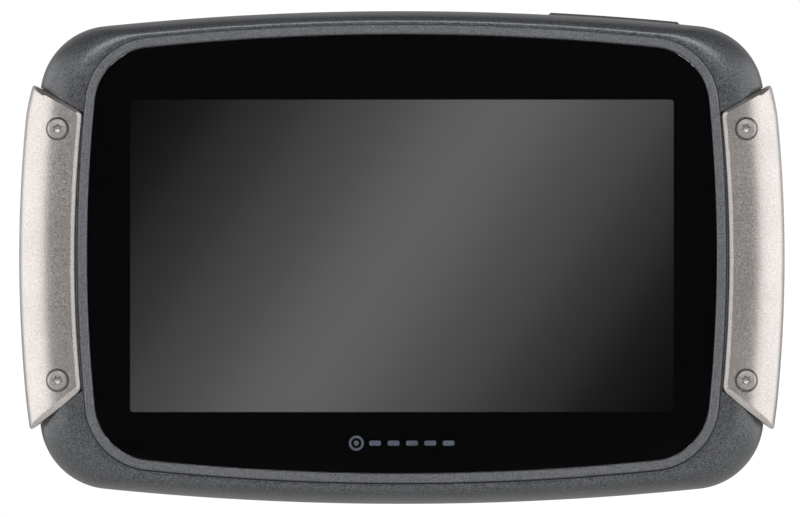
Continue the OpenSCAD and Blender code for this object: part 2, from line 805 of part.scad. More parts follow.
module button_flex() {
    top = button_z + button_board_z - button_board_t - 0.1;
    color("peru") block(28, (top + 28) / 2, 4, top - 28,
                        board_back_y + 1.12, board_back_y + 1.12 + flex_t);
}

// --- Battery ---
battery_z = 3.5;
pad_t = 0.4;
battery_back_y = hump_in_y - pad_t;
battery_y = battery_back_y - battery_t;

module battery_pad() {
    color("gray") block(0, battery_z, battery_w - 6, battery_h - 8, battery_back_y, hump_in_y);
}

module battery_cell() {
    color("lightsteelblue") translate([0, 0, battery_z]) slab(battery_y, battery_back_y)
        rounded_rect(battery_w, battery_h, 1.5);
}

// A round wire through points, with rounded bends
module wire(points, r) {
    for (i = [0:len(points) - 2]) {
        d = points[i + 1] - points[i];
        len = norm(d);
        translate(points[i]) rotate([0, acos(d.z / len), atan2(d.y, d.x)]) cylinder(h = len, r = r);
        if (i > 0) translate(points[i]) sphere(r = r);
    }
}

module battery_leads() {
    lead_y = battery_back_y - 1.6;
    color("red") for (i = [-1, 0, 1])
        wire([[battery_w / 2 + 0.02, lead_y, 1.5 * i], [plug_x, lead_y, 1.5 * i],
              [plug_x, board_back_y + 2.02, 1.5 * i]], 0.5);
}

// --- Rear housing ---
rear_rows = 6;
rear_e = 0.5;        // roundness of the rear edge
function rear_depth(t) = pow(sin(t), rear_e);
function rear_taper(t) = 1 - pow(cos(t), rear_e);
socket_z = 10;
contacts_z = -17.4;
contact_span = (contact_count - 1) * contact_pitch;
block_w = contact_span + 4.6;
block_h = 4.4;
dock_screw_x = dock_w / 2 - 4.5;
dock_screw_z = dock_h / 2 - 4.5;
vent_x = 46;
vent_z = -14;
label_z = -(dock_h / 2 + body_b - rear_inset) / 2;

module rear_housing() {
    color("dimgray") difference() {
        union() {
            loft(concat(
                [for (i = [rear_rows:-1:0]) let (t = 90 * i / rear_rows)
                    row(body_line(-rear_inset * rear_taper(t)),
                        part_y + (rear_y - part_y) * rear_depth(t))],
                [for (i = [0:rear_rows]) let (t = 90 * i / rear_rows)
                    row(between(inner_line(), body_line(-rear_inset - wall), rear_taper(t)),
                        part_y + (rear_in_y - part_y) * rear_depth(t))]));
            slab(rear_in_y + 0.2, hump_y) rounded_rect(dock_w, dock_h, 8);
            for (p = corner_bosses) bar(p.x, p.y, boss_r, part_y, rear_in_y + 0.2);
            for (p = mid_bosses) bar(p.x, p.y, mid_boss_r, part_y, rear_in_y + 0.2);
            button_posts();
        }
        difference() {
            slab(rear_in_y - cut, hump_in_y)
                rounded_rect(dock_w - 2 * wall, dock_h - 2 * wall, 8 - wall);
            for (sx = [-1, 1]) for (sz = [-1, 1])
                bar(sx * dock_screw_x, sz * dock_screw_z, 2.6, rear_in_y - 2 * cut, hump_y);
        }
        // dock contacts and dock screws
        block(0, contacts_z, block_w + 0.2, block_h + 0.2, hump_in_y - cut, hump_y + cut);
        for (sx = [-1, 1]) for (sz = [-1, 1])
            bar(sx * dock_screw_x, sz * dock_screw_z, 0.8 + screw_gap, hump_y - 4.4, hump_y + cut);
        // housing screws
        for (p = all_bosses) {
            bar(p.x, p.y, shank_r + 0.15, part_y - cut, rear_y + cut);
            bar(p.x, p.y, head_r + 0.2, head_seat_y, rear_y + cut);
        }
        at_button() for (sx = [-1, 1])
            translate([sx * post_x, 0, button_board_z - cut]) cylinder(h = 2.8 + cut, r = 0.6 + screw_gap);
        button_slot();
        bay_cuts();
        // vent, and the seat of the rating plate
        bar(vent_x, vent_z, 3.1, rear_y - 0.5, rear_y + cut);
        for (a = [0:90:270])
            bar(vent_x + 1.4 * cos(a), vent_z + 1.4 * sin(a), 0.4, rear_in_y - cut, rear_y);
        block(0, label_z, 36.2, 8.2, rear_y - 0.2, rear_y + cut);
        trim_blank(trim_clear, 0.8);
        mirror([1, 0, 0]) trim_blank(trim_clear, 0.8);
    }
}

module housing_gasket() {
    color("orangered") slab(part_y - 1.4, part_y + 0.05) difference() {
        polygon(inner_line(-0.05));
        polygon(inner_line(-0.95));
    }
}

module housing_screws() {
    color("gray") for (p = all_bosses)
        small_screw(p.x, p.y, head_seat_y, shank_r, head_seat_y - pilot_end_y - 0.4, head_r, 1.4);
}

module pressure_vent() {
    color("white") bar(vent_x, vent_z, 3, rear_y - 0.5, rear_y - 0.1);
}

module rating_plate() {
    color("lightgray") block(0, label_z, 36, 8, rear_y - 0.2, rear_y - 0.05);
}

// --- Dock side ---
module dock_plate() {
    color("darkslategray") difference() {
        slab(plate_y, 0) rounded_rect(dock_w, dock_h, 8);
        // sockets for the dock's two locating pegs
        for (sx = [-1, 1]) bar(sx * socket_pitch / 2, socket_z, socket_r, -socket_depth, cut);
        // slots that the dock's claws catch in
        for (sz = [-1, 1])
            block(0, sz * dock_h / 2, 16, 3.2, plate_y + 0.9, -0.9);
        // wells and stems of the contacts
        for (i = [0:contact_count - 1]) {
            x = i * contact_pitch - contact_span / 2;
            bar(x, contacts_z, 1.15, -0.75, cut);
            bar(x, contacts_z, 0.55, plate_y - cut, 0);
        }
        for (sx = [-1, 1]) for (sz = [-1, 1]) {
            bar(sx * dock_screw_x, sz * dock_screw_z, 1.95, -1.5, cut);
            bar(sx * dock_screw_x, sz * dock_screw_z, 0.95, plate_y - cut, 0);
        }
    }
}

module dock_seal() {
    color("black") slab(hump_y, plate_y) difference() {
        rounded_rect(dock_w - 0.4, dock_h - 0.4, 7.8);
        rounded_rect(dock_w - 5, dock_h - 5, 5.5);
        for (sx = [-1, 1]) for (sz = [-1, 1])
            translate([sx * dock_screw_x, sz * dock_screw_z]) circle(r = 1.2);
    }
}

module dock_contacts() {
    color("gold") for (i = [0:contact_count - 1]) {
        x = i * contact_pitch - contact_span / 2;
        bar(x, contacts_z, 1.1, -0.7, -0.15);
        bar(x, contacts_z, 0.5, hump_in_y - 0.2, -0.7);
    }
}

module contact_block() {
    color("ivory") difference() {
        block(0, contacts_z, block_w, block_h, hump_in_y, plate_y);
        for (i = [0:contact_count - 1])
            bar(i * contact_pitch - contact_span / 2, contacts_z, 0.55,
                hump_in_y - cut, plate_y + cut);
    }
}

module dock_flex() {
    back_y = hump_in_y - 0.2 - flex_t / 2;
    front_y = board_back_y + 1.1 + flex_t / 2;
    color("peru") ribbon(0, 14, [[back_y, contacts_z - 2], [back_y, dock_flex_z],
        [front_y, dock_flex_z]], flex_t);
}

module dock_screws() {
    color("gray") for (sx = [-1, 1]) for (sz = [-1, 1])
        small_screw(sx * dock_screw_x, sz * dock_screw_z, -1.5, 0.8, 5, 1.7, 1.2);
}

front_housing();
display_frame();
cover_glass();
border_mask();
touch_sensor();
touch_flex();
display_foam();
lcd_tray();
lcd_cell();
light_guide();
lcd_flex();
chassis();
chassis_screws();
main_board();
board_connectors();
board_screws();
processor_can();
radio_can();
gps_patch();
short_range_antenna();
usb_receptacle();
card_socket();
port_well();
charge_led();
light_pipe();
battery_cell();
battery_pad();
battery_leads();
housing_gasket();
rear_housing();
housing_screws();
pressure_vent();
rating_plate();
dock_plate();
dock_seal();
dock_contacts();
contact_block();
dock_flex();
dock_screws();
left_trim();
right_trim();
trim_screws();
button_board();
switch_body();
button_screws();
button_flex();
power_button();
switch_plunger();
port_cover();
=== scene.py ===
import bpy
import bmesh
import math
from mathutils import Matrix, Vector


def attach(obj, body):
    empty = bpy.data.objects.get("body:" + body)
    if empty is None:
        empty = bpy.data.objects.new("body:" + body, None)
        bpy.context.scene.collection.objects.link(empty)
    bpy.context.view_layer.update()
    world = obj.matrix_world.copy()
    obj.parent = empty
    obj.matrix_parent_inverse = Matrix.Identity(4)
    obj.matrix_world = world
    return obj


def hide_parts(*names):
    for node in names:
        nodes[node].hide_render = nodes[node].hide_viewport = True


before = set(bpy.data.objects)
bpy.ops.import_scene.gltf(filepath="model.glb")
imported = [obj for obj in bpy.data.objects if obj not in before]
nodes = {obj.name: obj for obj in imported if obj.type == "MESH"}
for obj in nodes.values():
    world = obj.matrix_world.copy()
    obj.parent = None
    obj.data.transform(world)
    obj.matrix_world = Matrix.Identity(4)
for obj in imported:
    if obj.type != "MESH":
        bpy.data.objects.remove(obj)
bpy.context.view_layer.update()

scene = bpy.context.scene
mm = 0.001  # sizes below are in millimetres until multiplied by this


studio = {
    "cameraDistance": 1600,      # far off, so the view is almost flat
    "pictureWidth": 144.21,      # what the picture takes in across the unit's front
    "lookAt": (-0.34, -0.18),
    "sensor": 36,
    "floorDrop": 260,            # the dock holds the unit up, so the floor lies well below
    "floorSize": 6000,
    "ambient": 0.012,
}

lamps = {  # place, what it points at, size and power; all are soft boxes
    "topBox": {"place": (0.0, -1.15, 0.84), "aim": (0, 0, 0), "size": (1.9, 0.36), "power": 22.0},
    "leftBox": {"place": (-0.95, 0.13, 0.05), "aim": (0, 0.13, 0.05), "size": (1.75, 1.1), "power": 11.0},
    "rightBox": {"place": (0.95, 0.13, 0.05), "aim": (0, 0.13, 0.05), "size": (1.75, 1.1), "power": 11.0},
    "backBox": {"place": (0.0, 1.3, 0.5), "aim": (0, 0, 0), "size": (1.8, 1.2), "power": 3.5},
}


def fromHex(code, alpha=1.0):  # sRGB hex to linear light
    parts = [int(code[i:i + 2], 16) / 255 for i in (1, 3, 5)]
    return tuple(c / 12.92 if c <= 0.04045 else ((c + 0.055) / 1.055) ** 2.4 for c in parts) + (alpha,)


def addNode(tree, kind, settings=None, links=None):
    # a key in lower case is the node's own setting, any other key is a socket
    made = tree.nodes.new(kind)
    for key, value in (settings or {}).items():
        if isinstance(key, str) and key[0].islower():
            setattr(made, key, value)
        else:
            made.inputs[key].default_value = value
    for key, source in (links or {}).items():
        tree.links.new(source, made.inputs[key])
    return made


def addCamera():
    lens = bpy.data.cameras.new("camera")
    rig = bpy.data.objects.new("camera", lens)
    scene.collection.objects.link(rig)
    lens.sensor_width = studio["sensor"]
    lens.lens = studio["sensor"] * studio["cameraDistance"] / studio["pictureWidth"]
    lens.clip_start = 0.01
    x, z = studio["lookAt"]
    rig.location = (x * mm, -(studio["cameraDistance"] + 26) * mm, z * mm)
    rig.rotation_euler = (math.radians(90), 0, 0)
    scene.camera = rig


def addLamps():
    for name, spec in lamps.items():
        lamp = bpy.data.lights.new(name, "AREA")
        lamp.shape = "RECTANGLE"
        lamp.size, lamp.size_y = spec["size"]
        lamp.energy = spec["power"]
        rig = bpy.data.objects.new(name, lamp)
        scene.collection.objects.link(rig)
        rig.location = spec["place"]
        way = Vector(spec["aim"]) - Vector(spec["place"])
        rig.rotation_euler = way.to_track_quat("-Z", "Y").to_euler()
        rig.visible_camera = False


def addSurroundings():
    world = bpy.data.worlds.new("studio")
    scene.world = world
    world.use_nodes = True
    tree = world.node_tree
    tree.nodes.clear()
    path = addNode(tree, "ShaderNodeLightPath")
    dim = addNode(tree, "ShaderNodeBackground", {"Color": (1, 1, 1, 1), "Strength": studio["ambient"]})
    page = addNode(tree, "ShaderNodeBackground", {"Color": (1, 1, 1, 1), "Strength": 1.04})
    both = addNode(tree, "ShaderNodeMixShader", None,
                   {0: path.outputs["Is Camera Ray"], 1: dim.outputs[0], 2: page.outputs[0]})
    addNode(tree, "ShaderNodeOutputWorld", None, {"Surface": both.outputs[0]})
    scene.view_settings.view_transform = "Standard"
    bm = bmesh.new()
    bmesh.ops.create_grid(bm, x_segments=1, y_segments=1, size=studio["floorSize"] * mm / 2)
    bmesh.ops.translate(bm, verts=bm.verts, vec=(0, 0, -studio["floorDrop"] * mm))
    mesh = bpy.data.meshes.new("floor")
    bm.to_mesh(mesh)
    floor = bpy.data.objects.new("floor", mesh)
    scene.collection.objects.link(floor)
    floor.data.materials.append(makeCoat("paleFloor", {
        "low": "#e9e9e7", "high": "#ebebe9", "grain": 3, "cloud": 60, "drift": 0.01,
        "rough": 0.7, "metal": 0, "bump": 0.0}))


def startMaterial(name):
    mat = bpy.data.materials.new(name)
    mat.use_nodes = True
    tree = mat.node_tree
    tree.nodes.clear()
    skin = addNode(tree, "ShaderNodeBsdfPrincipled")
    addNode(tree, "ShaderNodeOutputMaterial", None, {"Surface": skin.outputs[0]})
    space = addNode(tree, "ShaderNodeTexCoord").outputs["Object"]
    return mat, tree, skin, space


def makeCoat(name, look):
    # one recipe for paints, mouldings and metals: two mixed tones, a grain and a soft cloud
    mat, tree, skin, space = startMaterial(name)
    stretch = addNode(tree, "ShaderNodeMapping", {"Scale": look.get("stretch", (1, 1, 1))}, {"Vector": space})
    grain = addNode(tree, "ShaderNodeTexNoise",
                    {"Scale": 1 / (look["grain"] * mm), "Detail": 2.0, "Roughness": 0.6},
                    {"Vector": stretch.outputs[0]})
    cloud = addNode(tree, "ShaderNodeTexNoise", {"Scale": 1 / (look.get("cloud", 9) * mm), "Detail": 3.0},
                    {"Vector": space})
    spread = look.get("spread", 0.16)  # a narrow spread makes hard speckles, a wide one a soft mottle
    speck = addNode(tree, "ShaderNodeMapRange", {"From Min": 0.5 - spread, "From Max": 0.5 + spread},
                    {"Value": grain.outputs[0]})
    tone = addNode(tree, "ShaderNodeMix",
                   {"data_type": "RGBA", 6: fromHex(look["low"]), 7: fromHex(look["high"])},
                   {0: speck.outputs[0]})
    shade = addNode(tree, "ShaderNodeMapRange", {"From Min": 0.3, "From Max": 0.7,
                    "To Min": 1 - look.get("drift", 0.05), "To Max": 1 + look.get("drift", 0.05)},
                    {"Value": cloud.outputs[0]})
    tint = addNode(tree, "ShaderNodeVectorMath", {"operation": "SCALE"},
                   {0: tone.outputs[2], "Scale": shade.outputs[0]})
    tree.links.new(tint.outputs[0], skin.inputs["Base Color"])
    if "specular" in look:
        skin.inputs["Specular IOR Level"].default_value = look["specular"]
    wear = look.get("roughSpread", 0.06)
    rough = addNode(tree, "ShaderNodeMapRange", {"From Min": 0.3, "From Max": 0.7,
                    "To Min": look["rough"] - wear, "To Max": look["rough"] + wear},
                    {"Value": grain.outputs[0]})
    tree.links.new(rough.outputs[0], skin.inputs["Roughness"])
    skin.inputs["Metallic"].default_value = look["metal"]
    if "ior" in look:
        skin.inputs["IOR"].default_value = look["ior"]
    if look.get("coat"):
        skin.inputs["Coat Weight"].default_value = look["coat"]
        skin.inputs["Coat Roughness"].default_value = look.get("coatRough", 0.2)
    if look["bump"]:
        relief = addNode(tree, "ShaderNodeBump",
                         {"Strength": look["bump"], "Distance": look.get("depth", 0.03) * mm},
                         {"Height": grain.outputs[0]})
        tree.links.new(relief.outputs[0], skin.inputs["Normal"])
    return mat


def makeGlass():
    # toughened cover glass: clear, flat and highly polished, with a trace of smear in its gloss
    mat, tree, skin, space = startMaterial("toughenedGlass")
    skin.inputs["Transmission Weight"].default_value = 1.0
    skin.inputs["IOR"].default_value = 1.5
    skin.inputs["Base Color"].default_value = fromHex("#ffffff")
    smear = addNode(tree, "ShaderNodeTexNoise", {"Scale": 1 / (14 * mm), "Detail": 4.0}, {"Vector": space})
    rough = addNode(tree, "ShaderNodeMapRange", {"To Min": 0.0, "To Max": 0.03}, {"Value": smear.outputs[0]})
    tree.links.new(rough.outputs[0], skin.inputs["Roughness"])
    return mat


def makeDisplaySheen():
    # liquid-crystal cell, switched off: the soft grey band that runs across it is a painted reflection, given
    # off as glow though the cell is no lamp
    look = {
        "across": (0.82, -0.571),   # direction across the band, in x and z
        "middle": (0.38, 3.15),     # a point on its brightest line, in mm
        "reach": 54,                # how far the stops below run each way from that line, in mm
        "stops": ("#050505", "#242424", "#3e3e3e", "#545454", "#646464",
                  "#575757", "#434343", "#262626", "#070707"),
        "lines": 0.28,              # pitch of the cell's rows, drawn coarser than real so that they show
    }
    mat, tree, skin, space = startMaterial("displayPaintedSheen")
    across = addNode(tree, "ShaderNodeVectorMath", {"operation": "DOT_PRODUCT",
                     1: (look["across"][0], 0, look["across"][1])}, {0: space})
    offset = sum(a * b for a, b in zip(look["across"], look["middle"])) * mm
    spread = look["reach"] * mm
    place = addNode(tree, "ShaderNodeMapRange", {"From Min": offset - spread, "From Max": offset + spread},
                    {"Value": across.outputs["Value"]})
    ramp = addNode(tree, "ShaderNodeValToRGB", None, {0: place.outputs[0]})
    stops = look["stops"]
    band = ramp.color_ramp
    band.interpolation = "CARDINAL"
    band.elements[0].color = fromHex(stops[0])
    band.elements[1].color = fromHex(stops[-1])
    for i, code in enumerate(stops[1:-1], 1):
        band.elements.new(i / (len(stops) - 1)).color = fromHex(code)
    rows = addNode(tree, "ShaderNodeTexWave", {"bands_direction": "Z", "Scale": 0.314 / (look["lines"] * mm)},
                   {"Vector": space})
    dim = addNode(tree, "ShaderNodeMapRange", {"To Min": 0.96, "To Max": 1.04},
                  {"Value": rows.outputs["Fac"]})
    paintedSheen = addNode(tree, "ShaderNodeVectorMath", {"operation": "SCALE"},
                   {0: ramp.outputs[0], "Scale": dim.outputs[0]})
    # the painted reflection goes in as emission, so the switched-off cell glows
    tree.links.new(paintedSheen.outputs[0], skin.inputs["Emission Color"])
    skin.inputs["Emission Strength"].default_value = 1.0
    skin.inputs["Base Color"].default_value = fromHex("#030304")
    skin.inputs["Specular IOR Level"].default_value = 0.1
    skin.inputs["Roughness"].default_value = 0.35
    return mat


coats = {
    # sprayed charcoal paint on die-cast metal: dull, with a fine mineral sparkle that breaks the shade up
    "housingPaint": {"low": "#2b2c2e", "high": "#66686b", "grain": 0.24, "spread": 0.17, "rough": 0.38,
                     "metal": 0.4, "bump": 0.25, "depth": 0.03, "ior": 1.5},
    # the same paint on the rim, its tones painted lighter and a shade cooler as painted light, because it
    # lies flat to the light
    "rimPaintLitCopy": {"low": "#3d3e42", "high": "#707277", "grain": 0.26, "spread": 0.16, "rough": 0.44,
                 "metal": 0.15, "bump": 0.3, "depth": 0.03, "ior": 1.5},
    # satin silver lacquer with aluminium flake: soft wide highlights, a warm cast
    "trimLacquer": {"low": "#a59f9c", "high": "#cdc7c4", "grain": 0.26, "spread": 0.2, "rough": 0.35,
                    "metal": 0.9, "bump": 0.12, "depth": 0.016, "coat": 0.25, "coatRough": 0.3},
    # zinc-plated steel screws, turned and pressed: bright with a faint blue cast
    "platedSteel": {"low": "#9a9896", "high": "#b1afac", "grain": 0.25, "rough": 0.42, "metal": 0.7,
                    "bump": 0.1, "depth": 0.01},
    # glass-filled nylon, moulded: dull black with a faint mottle
    "mouldedNylon": {"low": "#17181a", "high": "#26282b", "grain": 0.4, "rough": 0.58, "metal": 0,
                     "bump": 0.4, "depth": 0.03, "ior": 1.53},
    # silicone rubber: matt, almost black
    "siliconeRubber": {"low": "#141414", "high": "#202020", "grain": 0.5, "rough": 0.75, "metal": 0,
                       "bump": 0.25, "depth": 0.02, "ior": 1.42},
    # printed black border under the glass
    "borderInk": {"low": "#090909", "high": "#0c0c0c", "grain": 0.3, "rough": 0.5, "metal": 0, "bump": 0.0,
                  "specular": 0.0},
    # grey printing ink of the small symbol
    "symbolInk": {"low": "#5f6678", "high": "#747b8c", "grain": 0.2, "rough": 0.55, "metal": 0, "bump": 0.0},
    # gold-plated contacts
    "goldPlate": {"low": "#c99d4a", "high": "#e3bd6c", "grain": 0.2, "rough": 0.25, "metal": 1.0,
                  "bump": 0.08, "depth": 0.01},
    # nickel-plated sheet of the shields and sockets
    "nickelSheet": {"low": "#9b9a95", "high": "#bcbab3", "grain": 0.3, "rough": 0.32, "metal": 1.0,
                    "bump": 0.1, "depth": 0.01, "stretch": (1, 1, 6)},
    # rolled stainless sheet of the chassis and the display tray
    "rolledStainless": {"low": "#8d8f92", "high": "#b3b5b8", "grain": 0.25, "rough": 0.34, "metal": 1.0,
                        "bump": 0.12, "depth": 0.01, "stretch": (0.1, 1, 1)},
    # epoxy-glass circuit board under green solder mask
    "circuitBoard": {"low": "#0d3a22", "high": "#17552f", "grain": 0.6, "rough": 0.38, "metal": 0,
                     "bump": 0.2, "depth": 0.01, "coat": 0.4},
    # polyimide flex: amber film over copper
    "polyimideFilm": {"low": "#8c4a14", "high": "#b46a24", "grain": 0.4, "rough": 0.3, "metal": 0.1,
                      "bump": 0.1, "depth": 0.01},
    # open-cell foam strip
    "foamStrip": {"low": "#26262a", "high": "#3b3b40", "grain": 0.35, "rough": 0.9, "metal": 0,
                  "bump": 0.8, "depth": 0.08},
    # ceramic of the satellite patch antenna
    "patchCeramic": {"low": "#b9b2a2", "high": "#d4cdbd", "grain": 0.3, "rough": 0.55, "metal": 0,
                     "bump": 0.2, "depth": 0.01},
    # ivory moulded insulator
    "ivoryMoulding": {"low": "#cbc5b2", "high": "#dfd9c8", "grain": 0.4, "rough": 0.45, "metal": 0,
                      "bump": 0.15, "depth": 0.01},
    # white acrylic of the light guide and light pipe
    "whiteAcrylic": {"low": "#d9dadb", "high": "#eeeff0", "grain": 0.5, "rough": 0.25, "metal": 0,
                     "bump": 0.05, "depth": 0.01, "ior": 1.49},
    # battery pouch: aluminium laminate with a dull foil shine
    "pouchLaminate": {"low": "#9a9da3", "high": "#b7babf", "grain": 0.8, "rough": 0.4, "metal": 0.7,
                      "bump": 0.3, "depth": 0.03},
    # insulated wire
    "wireInsulation": {"low": "#8e1b1b", "high": "#ab2a26", "grain": 0.3, "rough": 0.5, "metal": 0,
                       "bump": 0.1, "depth": 0.01},
    # expanded membrane of the pressure vent
    "ventMembrane": {"low": "#c9cac9", "high": "#e2e3e2", "grain": 0.2, "rough": 0.8, "metal": 0,
                     "bump": 0.5, "depth": 0.02},
    # polyester label, printed plain silver
    "labelFilm": {"low": "#b4b6b8", "high": "#c5c7c9", "grain": 0.4, "rough": 0.4, "metal": 0.3,
                  "bump": 0.05, "depth": 0.01},
}

print("materials: paints, metals, glass, rubber and inks")
paint = {name: makeCoat(name, look) for name, look in coats.items()}
paint["toughenedGlass"] = makeGlass()
paint["displayPaintedSheen"] = makeDisplaySheen()


form = {
    "bodyHalf": (66.95, 44.55), "bodyRadii": (530, 285, 12.9),
    "glassHalf": (56.6, 39.5), "glassRadii": (446, 278, 10.6), "glassRaise": 0.65,
    "innerHalf": (63.95, 42.15), "innerRadii": (527.6, 282, 10.5),
    "rimLand": 1.75,
    "steps": (16, 22, 26),        # points on the side, corner and top of each quarter
    "faceY": -30.3, "bodyFrontY": -29.9, "seatY": -27.15, "ledgeY": -24.05, "partY": -21,
    "rearY": -8, "rearInY": -10.4, "plateY": -2.7,
    "rearInset": 6.5,
}


def cornerCentre(a, b, radii):
    topR, sideR, cornerR = radii
    ct, cs = Vector((0, b - topR)), Vector((a - sideR, 0))
    r1, r2 = topR - cornerR, sideR - cornerR
    d = cs - ct
    along = (r1 * r1 - r2 * r2 + d.length_squared) / (2 * d.length)
    up = math.sqrt(r1 * r1 - along * along)
    middle = ct + d * (along / d.length)
    side = Vector((-d.y, d.x)) / d.length
    p = middle + side * up
    return p if p.x > 0 and p.y > 0 else middle - side * up


def outline(half, radii, grow=0.0, raised=0.0):
    # three tangent arcs to a quarter, mirrored both ways, as (x, z) going round from the right
    a, b = half[0] + grow, half[1] + grow
    topR, sideR, cornerR = (r + grow for r in radii)
    c = cornerCentre(a, b, (topR, sideR, cornerR))
    sideEnd = math.atan2(c.y, c.x - (a - sideR))
    topEnd = math.atan2(c.y - (b - topR), c.x)
    nSide, nCorner, nTop = form["steps"]
    q = [(a - sideR + sideR * math.cos(sideEnd * i / nSide), sideR * math.sin(sideEnd * i / nSide))
         for i in range(nSide)]
    for i in range(nCorner):
        t = sideEnd + (topEnd - sideEnd) * i / nCorner
        q.append((c.x + cornerR * math.cos(t), c.y + cornerR * math.sin(t)))
    for i in range(nTop):
        t = topEnd + (math.pi / 2 - topEnd) * i / nTop
        q.append((topR * math.cos(t), b - topR + topR * math.sin(t)))
    left = [(-x, z) for x, z in reversed(q[1:])]
    whole = q + [(0, b)] + left + [(-x, -z) for x, z in q] + [(0, -b)] + [(x, -z) for x, z in reversed(q[1:])]
    return [(x, z + raised) for x, z in whole]


def bodyLine(grow=0.0):
    return outline(form["bodyHalf"], form["bodyRadii"], grow)


def innerLine(grow=0.0):
    return outline(form["innerHalf"], form["innerRadii"], grow)


def glassLine(grow=0.0):
    return outline(form["glassHalf"], form["glassRadii"], grow, form["glassRaise"])


def rimLine(grow=0.0):
    return glassLine(form["rimLand"] + grow)


def between(p, q, share):
    return [(a[0] + (b[0] - a[0]) * share, a[1] + (b[1] - a[1]) * share) for a, b in zip(p, q)]


def atDepth(line, y):
    return [(x, y, z) for x, z in line]


def roundedRect(w, h, r, x=0.0, z=0.0, steps=7):
    points = []
    for k, (sx, sz) in enumerate(((1, 1), (-1, 1), (-1, -1), (1, -1))):
        for i in range(steps + 1):
            t = math.radians(90 * k + 90 * i / steps)
            points.append((x + sx * (w / 2 - r) + r * math.cos(t), z + sz * (h / 2 - r) + r * math.sin(t)))
    return points


def listOnce(parts):
    # each part once, in the order they come, so that every run gives the same mesh
    return list(dict.fromkeys(parts))


def startRing(bm, points):
    ring = [bm.verts.new(p) for p in points]
    for i, v in enumerate(ring):
        bm.edges.new((ring[i - 1], v))
    return ring


def nextRing(bm, ring, points):
    edges = [bm.edges.get((ring[i - 1], v)) for i, v in enumerate(ring)]
    made = bmesh.ops.extrude_edge_only(bm, edges=edges)
    fresh = {g for g in made["geom"] if isinstance(g, bmesh.types.BMVert)}
    grown = []
    for v, p in zip(ring, points):
        new = next(e.other_vert(v) for e in v.link_edges if e.other_vert(v) in fresh)
        new.co = p
        grown.append(new)
    return grown


def addLoft(bm, rings, closed=False):
    # skins rings of points one after the other; a closed one comes back to its first ring
    first = ring = startRing(bm, rings[0])
    for points in rings[1:]:
        ring = nextRing(bm, ring, points)
    if closed:
        last = nextRing(bm, ring, rings[0])
        bmesh.ops.weld_verts(bm, targetmap=dict(zip(last, first)))
    else:
        bmesh.ops.contextual_create(bm, geom=first)
        bmesh.ops.contextual_create(bm, geom=ring)
    return bm


def addSlab(bm, line, y0, y1, frontBevel=0.0, backBevel=0.0):
    # a flat plate from depth y0 back to y1, its two rims bevelled
    rim = startRing(bm, atDepth(line, y0))
    plate = bmesh.ops.contextual_create(bm, geom=rim)["faces"]
    made = bmesh.ops.extrude_face_region(bm, geom=plate, use_keep_orig=True)
    back = [g for g in made["geom"] if isinstance(g, bmesh.types.BMFace)]
    bmesh.ops.translate(bm, verts=listOnce(v for f in back for v in f.verts), vec=(0, y1 - y0, 0))
    for faces, size in ((plate, frontBevel), (back, backBevel)):
        if size:
            edges = listOnce(e for f in faces for e in f.edges)
            bmesh.ops.bevel(bm, geom=edges, offset=size, offset_type="OFFSET", affect="EDGES",
                            segments=2, profile=0.5, material=-1)
    return bm


def addTurned(bm, x, z, profile, segments=40):
    # a turned shape about an axis along Y, from its profile of (radius, y)
    chain = [bm.verts.new((x + r, y, z)) for r, y in profile]
    edges = [bm.edges.new(pair) for pair in zip(chain, chain[1:])]
    bmesh.ops.spin(bm, geom=chain + edges, cent=(x, 0, z), axis=(0, 1, 0), angle=math.tau,
                   steps=segments, use_merge=True)
    return bm


def addBox(bm, low, high, bevel=0.0, segments=2):
    made = bmesh.ops.create_cube(bm, size=1)["verts"]
    size = [h - l for l, h in zip(low, high)]
    bmesh.ops.scale(bm, verts=made, vec=size)
    bmesh.ops.translate(bm, verts=made, vec=[(l + h) / 2 for l, h in zip(low, high)])
    if bevel:
        edges = listOnce(e for v in made for e in v.link_edges)
        bmesh.ops.bevel(bm, geom=edges, offset=bevel, offset_type="OFFSET", affect="EDGES",
                        segments=segments, profile=0.5, material=-1)
    return bm


def tidy(bm):
    bmesh.ops.remove_doubles(bm, verts=bm.verts, dist=0.0008)
    bmesh.ops.recalc_face_normals(bm, faces=bm.faces)
    return bm


def asObject(name, bm):
    mesh = bpy.data.meshes.new(name)
    bm.to_mesh(mesh)
    bm.free()
    piece = bpy.data.objects.new(name, mesh)
    scene.collection.objects.link(piece)
    return piece


def inOrder(bm):
    # the solver gives its parts back in any order; this puts them in the same one on every run
    for parts, place in ((bm.verts, lambda v: v.co),
                         (bm.edges, lambda e: e.verts[0].co + e.verts[1].co),
                         (bm.faces, lambda f: f.calc_center_median())):
        ranked = sorted(parts, key=lambda part: tuple(round(c, 5) for c in place(part)))
        for i, part in enumerate(ranked):
            part.index = i
        parts.sort()
    return bm


def carve(bm, tool, way="DIFFERENCE"):
    # cuts or joins two closed shapes and gives back the result as one mesh
    for shape in (bm, tool):
        tidy(shape)
        bmesh.ops.triangulate(shape, faces=shape.faces)
    work, knife = asObject("work", bm), asObject("knife", tool)
    cut = work.modifiers.new("cut", "BOOLEAN")
    cut.operation, cut.solver, cut.object = way, "EXACT", knife
    shaped = bpy.data.meshes.new_from_object(work.evaluated_get(bpy.context.evaluated_depsgraph_get()))
    result = bmesh.new()
    result.from_mesh(shaped)
    for spare in (work, knife):
        old = spare.data
        bpy.data.objects.remove(spare)
        bpy.data.meshes.remove(old)
    bpy.data.meshes.remove(shaped)
    return inOrder(result)


def keep(name, bm, body, skin, stands=(), sharp=32):
    tidy(bm)
    bmesh.ops.scale(bm, vec=(mm, mm, mm), verts=bm.verts)
    piece = asObject(name, bm)
    for face in piece.data.polygons:
        face.use_smooth = True
    piece.data.set_sharp_from_angle(angle=math.radians(sharp))
    piece.data.materials.append(skin)
    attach(piece, body)
    if stands:
        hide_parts(*stands)
    return piece


